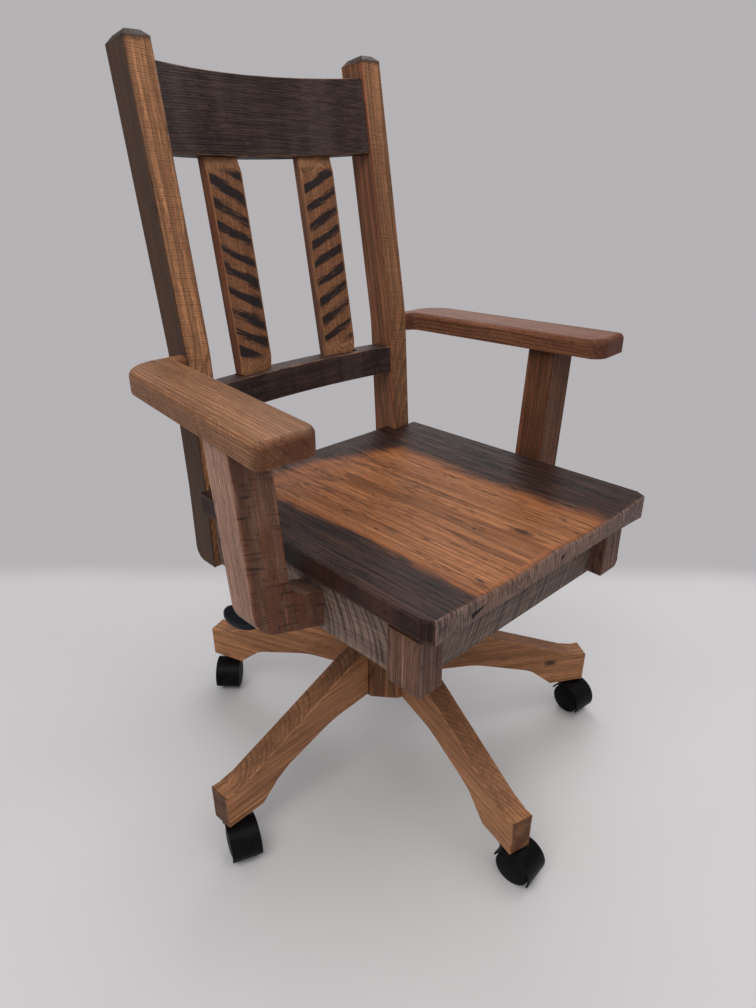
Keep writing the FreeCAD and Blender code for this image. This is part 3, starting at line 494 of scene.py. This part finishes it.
def frame_axes(along, across):
    """Grain, width and thickness directions of a board from two of them."""
    along = along.normalized()
    across = (across - along * across.dot(along)).normalized()
    return (along, across, along.cross(across))


# Tones, as linear colour

HONEY = (0.46, 0.185, 0.070)
HONEY_DEEP = (0.32, 0.115, 0.040)
TAN = (0.38, 0.175, 0.080)
TAN_DEEP = (0.26, 0.115, 0.052)
RUSSET = (0.19, 0.060, 0.028)
UMBER = (0.078, 0.040, 0.031)
ESPRESSO = (0.038, 0.020, 0.017)
BARN_GREY = (0.105, 0.070, 0.055)
SOOT = (0.008, 0.006, 0.006)


# Seat

SEAT_HALF_WIDTH = 0.240
SEAT_FRONT = -0.303
CLIP_REGION = (0.030, 0.045)
CLIP_SHARE = 0.5
RIM_NEAR = (-0.134, -0.170)
RIM_FAR = (0.072, 0.165)
RIM_BACK = (0.085, 0.17)
FRONT_FACE = (-0.2985, -0.3022)
# Each split: where it starts, how long it is and its height. Each knot: its place, size and darkness.
SEAT_SPLITS = ((-0.170, 0.028, 0.463), (0.012, 0.012, 0.466))
SEAT_KNOTS = ((0.014, -0.240, 0.0075, 0.9), (-0.104, -0.105, 0.006, 0.5), (-0.080, 0.055, 0.006, 0.4),
              (-0.123, -0.276, 0.003, 0.85), (-0.155, -0.180, 0.006, 0.9))


def draw_in_clips(bm):
    """Makes the clipped front corners of the seat smaller, scaled about the corner that each one cuts off."""
    for side in (-1, 1):
        corner = Vector((side * SEAT_HALF_WIDTH, SEAT_FRONT))
        for vertex in bm.verts:
            away = vertex.co.xy - corner
            if abs(away.x) < CLIP_REGION[0] and abs(away.y) < CLIP_REGION[1]:
                vertex.co.xy = corner + away * CLIP_SHARE


def seat_marks(w, color, board, place):
    """Old dark finish round the rim of the seat, end grain with two splits in its front face, and knots."""
    x, y, z = w.split(place)
    slow = w.math("MULTIPLY_ADD", w.noise(w.stretched(place, 9.0, 6.0, 0.0), 3.0, 0.5), 0.09, -0.045)
    torn = w.math("MULTIPLY_ADD", w.noise(w.stretched(place, 130.0, 7.0, 0.0), 4.0, 0.6), 0.044, -0.022)
    wobble = w.plus(slow, torn)
    near = w.span(w.plus(x, w.times(wobble, 0.7)), *RIM_NEAR)
    far = w.span(w.plus(x, wobble), *RIM_FAR, 0.0, 0.95)
    back = w.span(w.plus(w.plus(y, w.times(x, 0.25)), w.times(wobble, 1.1)), *RIM_BACK)
    rim = w.math("MAXIMUM", w.math("MAXIMUM", near, far), back)
    lip = w.times(w.span(w.plus(y, w.times(torn, 0.5)), -0.285, -0.303), w.span(z, 0.470, 0.478, 0.0, 0.6))
    rim = w.math("MAXIMUM", rim, lip)
    streak = w.span(w.noise(w.stretched(place, 210.0, 7.0, 0.0), 5.0, 0.7), 0.36, 0.66)
    glow = w.times(w.span(rim, 0.0, 0.35), 0.75)
    warm = w.mix(glow, color, w.mix(streak, (0.20, 0.062, 0.020), (0.36, 0.125, 0.036)))
    dark = w.mix(streak, (0.006, 0.004, 0.004), (0.052, 0.022, 0.014))
    color = w.mix(w.span(rim, 0.1, 0.95), warm, dark)
    front = w.span(y, *FRONT_FACE)
    lines = w.span(w.noise(w.stretched(place, 520.0, 0.0, 26.0), 3.0, 0.6), 0.4, 0.6)
    color = w.mix(w.times(front, 0.78), color, w.mix(lines, (0.075, 0.045, 0.038), (0.25, 0.165, 0.135)))
    for start, run, low in SEAT_SPLITS:
        share = w.math("DIVIDE", w.minus(x, start), run)
        level = w.math("MULTIPLY_ADD", share, 0.006, low)
        depth = w.minus(0.0045, w.times(share, 0.0042))
        inside = w.minus(depth, w.math("ABSOLUTE", w.minus(z, level)))
        within = w.times(w.span(share, -0.02, 0.02), w.span(share, 1.0, 0.96))
        hollow = w.times(w.times(w.span(inside, -0.0003, 0.0006), within), front)
        color = w.mix(hollow, color, (0.004, 0.003, 0.003))
    for knot_x, knot_y, size, depth in SEAT_KNOTS:
        away = w.vector("SUBTRACT", place, (knot_x, knot_y, 0.48))
        reach = w.vector("LENGTH", w.stretched(away, 1.0, 0.38, 0.0))
        reach = w.plus(reach, w.times(w.noise(w.stretched(place, 70.0, 30.0, 0.0), 3.0), size * 0.6))
        color = w.mix(w.span(reach, size * 1.7, size * 0.6, 0.0, depth), color, (0.024, 0.011, 0.007))
    return color


# Each plank: pale and deep tone, where the pith lies across and through it, and the width of its rings.
PLANKS = (
    (HONEY_DEEP, RUSSET, -0.03, -0.09, 0.0042),
    (HONEY, HONEY_DEEP, 0.045, 0.13, 0.003),
    (darkened(HONEY, 0.94), HONEY_DEEP, -0.01, -0.16, 0.0038),
    (HONEY, HONEY_DEEP, 0.03, -0.11, 0.0033),
    (HONEY_DEEP, RUSSET, -0.05, 0.1, 0.0045),
)


def make_seat():
    planks = sorted(name for name in nodes if name.startswith("seat_plank"))
    bounds = [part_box(name) for name in planks]
    joints = [high.x for low, high in bounds[:-1]]

    def on_joint(edge):
        return any(all(abs(v.co.x - x) < 1e-3 for v in edge.verts) for x in joints)

    for i, (name, (pale, deep, pith_across, pith_through, ring)) in enumerate(zip(planks, PLANKS)):
        piece = dressed(name, 0.0048, 0.0003, on_joint, shape=draw_in_clips)
        finish = oak(name + "_oak", middle(name), frame_axes(FORE, ACROSS), 1.7 + 3.1 * i, pale, deep, UMBER,
                     low=(0.5, 0.8, 0.8), high=(0.3, 0.5, 0), pith=(0, pith_across, pith_through), ring=ring,
                     saw=dict(Pitch=0.0042, Slant=0.35, Arc=0.0, Break=0.5), saw_depth=0.5,
                     saw_sides=((0.9, 0.5, 0), (0.9, 0.5, 0)), cracks=0.85, extra=seat_marks, rough=0.4,
                     wander=0.005, arris_tone=(0.14, 0.085, 0.06), sheen=0.08, rub=0.3, rings=0.8)
        piece.data.materials.append(finish)


# Back

POST_CROWN = 1.0845
PLANED_RUN = 0.018
PLANED_DEPTH = 0.0045
CHAR_PITCH = 0.027
CHAR_END = (0.142, 0.128)
CHAR_SIDE = (0.0305, 0.027)
CHAR_TONE = (0.011, 0.008, 0.009)


def planed_ends(centre, through, low, high):
    """A shape step that planes a slat's front face back towards the rails, over a short run at each end."""
    def shape(bm):
        for level in (low, low + PLANED_RUN, high - PLANED_RUN, high):
            bmesh.ops.bisect_plane(bm, geom=bm.verts[:] + bm.edges[:] + bm.faces[:], dist=1e-6,
                                   plane_co=(0, 0, level), plane_no=(0, 0, 1))
        for vertex in bm.verts:
            past = max(low + PLANED_RUN - vertex.co.z, vertex.co.z - high + PLANED_RUN, 0.0)
            if (vertex.co - centre).dot(through) < 0.0:
                vertex.co += through * PLANED_DEPTH * min(past / PLANED_RUN, 1.0)
    return shape


def slat_char(w, color, board, place, slope, seed):
    """Feathered slanted strokes of old char over saw-tooth ticks on a slat's face, clear of its ends."""
    x, y, z = w.split(board)
    lean = math.atan(slope)
    down = w.math("MULTIPLY_ADD", x, math.cos(lean), w.times(y, math.sin(lean)))
    along = w.math("MULTIPLY_ADD", y, math.cos(lean), w.times(x, -math.sin(lean)))
    rhythm = w.math("SINE", w.plus(w.times(down, 2.0 * math.pi / CHAR_PITCH), seed))
    body = w.noise(w.joined(w.times(down, 70.0), w.times(along, 13.0), seed), 3.0, 0.55)
    feather = w.noise(w.joined(w.times(down, 620.0), w.times(along, 34.0), seed), 3.0, 0.6)
    weight = w.plus(w.times(body, 1.2), w.plus(w.times(rhythm, 0.30),
                                                              w.times(feather, 1.25)))
    stroke = w.span(weight, 1.14, 1.36)
    ends = w.times(w.span(w.math("ABSOLUTE", x), *CHAR_END), w.span(w.math("ABSOLUTE", y), *CHAR_SIDE))
    face = w.times(ends, w.span(z, -0.003, -0.007))
    ticks = w.times(use(w, TICK, Board=board, Seed=seed)["Ticks"], face)
    color = w.mix(w.times(ticks, 0.78), color, darkened(UMBER, 0.45))
    color = w.mix(w.times(face, 0.35), color, darkened(RUSSET, 0.5))
    return w.mix(w.times(w.times(stroke, face), 0.95), color, CHAR_TONE)


def rail_marks(w, color, board, place):
    """Worn bands across a dark rail, between the darker ones that kept the old finish."""
    x, y, z = w.split(board)
    bands = w.noise(w.joined(w.times(x, 16.0), w.times(y, 2.0), 0.0), 3.0, 0.5)
    fade = w.times(w.span(bands, 0.42, 0.66), 0.32)
    return w.mix(fade, color, (0.075, 0.050, 0.044))


def crown_soil(w, color, board, place):
    """Dark old finish left on the rounded top of a post."""
    z = w.split(place)[2]
    edge = w.plus(z, w.times(w.noise(w.stretched(place, 60.0, 60.0, 20.0), 3.0), 0.012))
    return w.mix(w.span(edge, POST_CROWN - 0.009, POST_CROWN - 0.001, 0.0, 0.85), color,
                 (0.022, 0.015, 0.013))


def make_back():
    for side, name in ((-1, "back_post_right"), (1, "back_post_left")):
        near = side < 0
        piece = dressed(name, 0.0022, crown=0.0075)
        old = darkened(BARN_GREY, 0.2) if near else darkened(RUSSET, 0.8)
        low = (0, 1.7, 0.03) if near else (0, 0.75, 0.1)
        high = (0.95, 0.8, 0.9) if near else (0.9, 1.0, 0.9)
        finish = oak(name + "_oak", middle(name), frame_axes(LEAN_UP, ACROSS), 11.0 + side,
                     darkened(TAN, 1.36 if near else 1.02),
                     darkened(TAN_DEEP, 1.3 if near else 0.95), old, low=low, high=high, pith=(0, 0.035, 0.1),
                     ring=0.0028 if near else 0.0044, streak=0.5,
                     saw=dict(Pitch=0.0034, Slant=0.12, Arc=0.0, Break=0.47), saw_tone=darkened(UMBER, 0.7),
                     saw_depth=0.16, extra=crown_soil, rings=0.8, saw_sides=((0, 0.1, 0.8), (0, 0.1, 0.6)),
                     cracks=0.55)
        piece.data.materials.append(finish)
    for name, seed in (("crest_rail", 21.0), ("lower_back_rail", 23.0)):
        piece = dressed(name, 0.0016)
        crest = name == "crest_rail"
        saw = dict(Pitch=0.0062, Slant=0.16, Arc=0.0, Break=0.38)
        if crest:
            saw = dict(Pitch=0.0036, Slant=0.05, Arc=0.35, Break=0.4)
        finish = oak(name + "_oak", middle(name), frame_axes(ACROSS, LEAN_UP if crest else UP), seed,
                     darkened(UMBER, 0.95), darkened(UMBER, 0.7), ESPRESSO, low=(0, 0.1, 0.7),
                     high=(0, 0.1, 0.7),
                     pith=(0, -0.02, 0.09), ring=0.0026, wander=0.02, saw=saw, saw_tone=darkened(SOOT, 1.3),
                     saw_depth=0.72, saw_sides=((0, 0.35, 1.0), (0, 0.35, 1.0)), cracks=0.35, saw_along=crest,
                     extra=rail_marks, arris_tone=darkened(TAN, 0.5 if crest else 0.8))
        piece.data.materials.append(finish)
    for side, name in ((-1, "back_slat_right"), (1, "back_slat_left")):
        across = Vector((math.cos(SLAT_TURN), -side * math.sin(SLAT_TURN), 0))
        through = frame_axes(LEAN_UP, across)[2]
        piece = dressed(name, 0.0024, shape=planed_ends(middle(name), through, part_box("lower_back_rail")[1].z,
                                                        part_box("crest_rail")[0].z))
        slope = 0.5 if side < 0 else -0.42

        def char(w, color, board, place, slope=slope, seed=31.0 + 1.7 * side):
            return slat_char(w, color, board, place, slope, seed)

        finish = oak(name + "_oak", middle(name), frame_axes(LEAN_UP, across), 27.0 + side,
                     darkened(TAN, 0.98),
                     darkened(TAN_DEEP, 1.0), darkened(RUSSET, 0.6), low=(0, 0.95, 0), high=(0, 0.95, 0.6),
                     pith=(0, 0.01, -0.05), ring=0.0024, cracks=0.3, extra=char, streak=0.35,
                     arris_tone=darkened(TAN, 0.7))
        piece.data.materials.append(finish)


# Aprons and front legs

def make_aprons():
    frames = {
        "side_apron_left": (FORE, UP), "side_apron_right": (FORE, UP), "front_apron": (ACROSS, UP),
        "back_apron": (ACROSS, UP), "front_leg_left": (UP, ACROSS), "front_leg_right": (UP, ACROSS),
        "corner_blocks": (UP, ACROSS),
    }
    for i, (name, (along, across)) in enumerate(frames.items()):
        piece = dressed(name, 0.0018 if "block" not in name else 0.0008)
        leg = name.startswith("front_leg")
        side = name.startswith("side")
        saw = dict(Pitch=0.0085, Slant=-0.5, Arc=2.0, Break=0.34)
        if side:
            saw = dict(Pitch=0.0125, Slant=0.3, Arc=5.0, Break=0.34)
        if leg:
            saw = dict(Pitch=0.0045, Slant=0.1, Arc=0.0, Break=0.5)
        tone = (0.37, 0.20, 0.135) if leg else darkened(BARN_GREY, 3.7)
        deep = (0.21, 0.092, 0.06) if leg else darkened(BARN_GREY, 2.3)
        finish = oak(name + "_oak", middle(name), frame_axes(along, across), 41.0 + 2.3 * i, tone, deep,
                     darkened(BARN_GREY, 0.62), low=(0.2, 0.2, 0.4), high=(0.2, 0.2, 0.4),
                     pith=(0, 0.03, 0.08), ring=0.003, saw=saw, saw_tone=darkened(SOOT, 1.4),
                     saw_depth=0.35 if leg else 0.75, saw_sides=((0.1, 0.2, 1.0), (0.1, 0.2, 1.0)),
                     cracks=0.9 if leg else 0.55, arris_tone=darkened(TAN, 0.55),
                     streak=0.65 if leg else 0.25,
                     rings=0.8 if leg else 0.3, fibre=0.6 if leg else 0.3)
        piece.data.materials.append(finish)


# Arms

def make_arms():
    for side, name in ((-1, "arm_right"), (1, "arm_left")):
        near = side < 0
        piece = dressed(name, 0.0016)
        along = Vector((side * math.sin(ARM_SPLAY), -math.cos(ARM_SPLAY), 0))
        tone = darkened(TAN, 0.98) if near else darkened(TAN, 0.72)
        finish = oak(name + "_oak", middle(name), frame_axes(along, ACROSS), 61.0 + side, tone,
                     TAN_DEEP if near else darkened(RUSSET, 0.95), darkened(RUSSET, 0.55), low=(0, 0.1, 0.7),
                     high=(0.95, 0.1 if near else 0.5, 0.02), pith=(0, side * 0.09, -0.085), ring=0.0036,
                     wander=0.012, rings=0.9,
                     saw=dict(Pitch=0.0058, Slant=0.7, Arc=0.0, Break=0.44), saw_tone=darkened(UMBER, 0.5),
                     saw_depth=0.55, saw_sides=((0.5, 0.7, 0.3), (0.8, 0.7, 0.0)), cracks=0.4, streak=0.35,
                     rub=0.3)
        piece.data.materials.append(finish)
    for side, name in ((-1, "arm_support_right"), (1, "arm_support_left")):
        near = side < 0
        piece = dressed(name, 0.0015)
        along = Vector((side * math.sin(SUPPORT_SPLAY), 0, math.cos(SUPPORT_SPLAY)))
        outer, inner = (0.12, 0.8) if near else (0.3, 0.95)
        low = (0, outer if near else inner, 1.0)
        high = (0, inner if near else outer, 0.6)
        finish = oak(name + "_oak", middle(name), frame_axes(along, ACROSS), 67.0 + side,
                     (0.60, 0.36, 0.265) if near else darkened(TAN, 0.95),
                     (0.45, 0.25, 0.175) if near else darkened(TAN_DEEP, 0.9), darkened(RUSSET, 0.5), low=low,
                     high=high, pith=(0, 0.02, 0.06),
                     ring=0.003, wander=0.012, saw=dict(Pitch=0.007, Slant=0.35, Arc=0.0, Break=0.5),
                     saw_tone=darkened(SOOT, 1.5), saw_depth=0.7, saw_sides=((0, 0.15, 1.0), (0, 0.5, 0.6)),
                     cracks=0.6, streak=0.5)
        piece.data.materials.append(finish)


# Base

LEG_KNOT = (0.085, -0.03, 0.0)


def leg_marks(w, color, board, place):
    """A knot near the foot of a leg."""
    away = w.vector("SUBTRACT", board, LEG_KNOT)
    ring = w.vector("LENGTH", w.stretched(away, 0.5, 1.0, 0.12))
    ring = w.plus(ring, w.times(w.noise(w.stretched(board, 70.0, 90.0, 90.0), 3.0), 0.006))
    return w.mix(w.span(ring, 0.0125, 0.0055, 0.0, 0.9), color, (0.035, 0.017, 0.011))


def make_base():
    legs = sorted(name for name in nodes if name.startswith("base_leg"))
    for i, name in enumerate(legs):
        piece = dressed(name, 0.0022)
        angle = math.radians(FIRST_LEG + i * LEG_STEP)
        outward = Vector((math.cos(angle), math.sin(angle), 0))
        finish = oak(name + "_oak", middle(name), frame_axes(outward, UP), 81.0 + 1.9 * i,
                     darkened(TAN, 1.72),
                     # The fifth leg (front left) gets a darker old surface: painted shade on the end face that
                     # the window lamp lights.
                     darkened(TAN_DEEP, 1.6), darkened(RUSSET, 0.12 if i == 4 else 0.4), low=(0.3, 0.2, 0.03),
                     high=(1.0, 0.3, 0.03),
                     pith=(0, -0.09, (0.05, -0.03, 0.06, -0.05, 0.035)[i]), ring=0.0036, wander=0.02,
                     saw=dict(Pitch=0.005, Slant=0.3, Arc=0.0, Break=0.52), saw_tone=darkened(UMBER, 0.9),
                     saw_depth=0.3, saw_sides=((0.2, 0.1, 0.2), (0.2, 0.4, 0.2)), cracks=0.5, streak=0.5,
                     rings=0.85,
                     extra=leg_marks if i in (1, 2) else None)
        piece.data.materials.append(finish)
    piece = dressed("base_hub", 0.0014)
    finish = oak("base_hub_oak", middle("base_hub"), frame_axes(UP, ACROSS), 97.0, TAN, TAN_DEEP,
                 darkened(RUSSET, 0.7), low=(0.2, 0.1, 0.1), high=(0.6, 0.1, 0.1), pith=(0, 0.01, 0.02),
                 ring=0.004,
                 cracks=0.7)
    piece.data.materials.append(finish)


# Moulded, coated and plated pieces

def make_fittings():
    nylon = coated("black_nylon", (0.0022, 0.0021, 0.0023), 0.38, worn=(0.005, 0.0048, 0.005))
    tread = coated("wheel_nylon", (0.0022, 0.0021, 0.0023), 0.46, worn=(0.0055, 0.005, 0.0048))
    plastic = coated("black_plastic_grip", (0.010, 0.011, 0.013), 0.36, worn=(0.018, 0.020, 0.024))
    powder = coated("black_powder_coat", (0.016, 0.016, 0.018), 0.45, 0.0, 1400.0, 0.00008,
                    (0.022, 0.022, 0.024))
    finishes = {"caster_black": nylon, "wheel_black": tread, "black_plastic": plastic, "black_metal": powder,
                "zinc_steel": zinc_plate()}
    for name, slot in slots.items():
        if slot in finishes:
            nodes[name].data.materials.clear()
            nodes[name].data.materials.append(finishes[slot])


# Room

EYE = Vector((-0.7361, -0.7320, 0.9400))
EYE_YAW = math.radians(44.14)
EYE_PITCH = math.radians(25.42)
EYE_ROLL = math.radians(-0.07)
IMAGE_HEIGHT = 1008
FOCAL_PIXELS = 732.2
FLOOR_REACH = 6.0
CREASE_DISTANCE = 1.60
FLOOR_TONE = (0.487, 0.474, 0.470)
SOILED_FLOOR = (0.445, 0.428, 0.424)
WALL_TONE = (0.465, 0.448, 0.462)


def make_camera():
    camera = bpy.data.cameras.new("camera")
    camera.sensor_fit = "VERTICAL"
    camera.lens = camera.sensor_height * FOCAL_PIXELS / IMAGE_HEIGHT
    camera.clip_start = 0.02
    eye = bpy.data.objects.new("camera", camera)
    bpy.context.scene.collection.objects.link(eye)
    turn = Matrix.Rotation(-EYE_YAW, 4, "Z") @ Matrix.Rotation(math.pi / 2.0 - EYE_PITCH, 4, "X")
    eye.matrix_world = Matrix.Translation(EYE) @ turn @ Matrix.Rotation(EYE_ROLL, 4, "Z")
    bpy.context.scene.camera = eye


def make_floor():
    """A paper-covered floor; past the crease where the paper rises it has the tone of the backdrop."""
    mesh = bpy.data.meshes.new("paper_floor")
    reach = FLOOR_REACH
    corners = [(-reach, -reach, 0), (reach, -reach, 0), (reach, reach, 0), (-reach, reach, 0)]
    mesh.from_pydata(corners, [], [(0, 1, 2, 3)])
    floor = bpy.data.objects.new("paper_floor", mesh)
    bpy.context.scene.collection.objects.link(floor)
    material, w, shader = blank_material("grey_white_paper")
    place = w.add("TexCoord").outputs["Object"]
    forward = (math.sin(EYE_YAW), math.cos(EYE_YAW), 0)
    depth = w.minus(w.vector("DOT_PRODUCT", place, forward), EYE.dot(Vector(forward)))
    drift = w.times(w.noise(w.stretched(place, 1.2, 1.2, 0.0), 2.0), 0.12)
    risen = w.span(w.plus(depth, drift), CREASE_DISTANCE - 0.03, CREASE_DISTANCE + 0.1)
    soil = w.noise(w.stretched(place, 5.0, 5.0, 0.0), 5.0, 0.6)
    color = w.mix(w.span(soil, 0.35, 0.7, 0.0, 0.14), FLOOR_TONE, SOILED_FLOOR)
    w.put(shader.inputs["Base Color"], color)
    shader.inputs["Roughness"].default_value = 0.55
    glow = w.add("Emission", ((*WALL_TONE, 1.0), 1.0))
    seen = w.add("LightPath").outputs["Is Camera Ray"]
    blend = w.add("MixShader")
    w.put(blend.inputs[0], w.times(risen, seen))
    w.put(blend.inputs[1], shader.outputs[0])
    w.put(blend.inputs[2], glow.outputs[0])
    w.put(material.node_tree.nodes["Material Output"].inputs[0], blend.outputs[0])
    mesh.materials.append(material)


def area_light(name, place, aim, size, power, tone):
    lamp = bpy.data.lights.new(name, "AREA")
    lamp.shape = "RECTANGLE"
    lamp.size, lamp.size_y = size
    lamp.energy = power
    lamp.color = tone
    light = bpy.data.objects.new(name, lamp)
    bpy.context.scene.collection.objects.link(light)
    light.location = place
    light.rotation_euler = (Vector(aim) - Vector(place)).to_track_quat("-Z", "Y").to_euler()


# Each lamp: its name, place, the point it is aimed at, its size, power and tone.
LAMPS = (
    ("window_left", (-1.5, -0.6, 2.3), (0, 0, 0.5), (1.6, 1.2), 27.5, (1.0, 0.99, 0.98)),
    ("ceiling", (0.3, -0.8, 2.7), (0, 0, 0.4), (2.2, 1.6), 25.0, (1.0, 0.985, 0.965)),
    ("back_fill", (1.4, 1.2, 2.0), (0, 0, 0.6), (1.4, 1.4), 21.0, (0.97, 0.98, 1.0)),
)
SKY_TONE = (0.95, 0.96, 1.0, 1.0)
SKY_STRENGTH = 0.73


def make_light():
    for lamp in LAMPS:
        area_light(*lamp)
    world = bpy.data.worlds.new("studio")
    bpy.context.scene.world = world
    world.use_nodes = True
    w = Wiring(world.node_tree)
    lit = world.node_tree.nodes["Background"]
    lit.inputs["Color"].default_value = SKY_TONE
    lit.inputs["Strength"].default_value = SKY_STRENGTH
    shown = w.add("Background", ((*WALL_TONE, 1.0), 1.0))
    path = w.add("LightPath").outputs
    seen = w.math("MAXIMUM", path["Is Camera Ray"], path["Is Glossy Ray"])
    seen = w.math("MAXIMUM", seen, path["Is Transmission Ray"])
    blend = w.add("MixShader")
    w.put(blend.inputs[0], seen)
    w.put(blend.inputs[1], lit.outputs[0])
    w.put(blend.inputs[2], shown.outputs[0])
    w.put(world.node_tree.nodes["World Output"].inputs[0], blend.outputs[0])


make_seat()
make_back()
make_aprons()
make_arms()
make_base()
make_fittings()
make_camera()
make_floor()
make_light()
bpy.context.scene.view_settings.view_transform = "Standard"
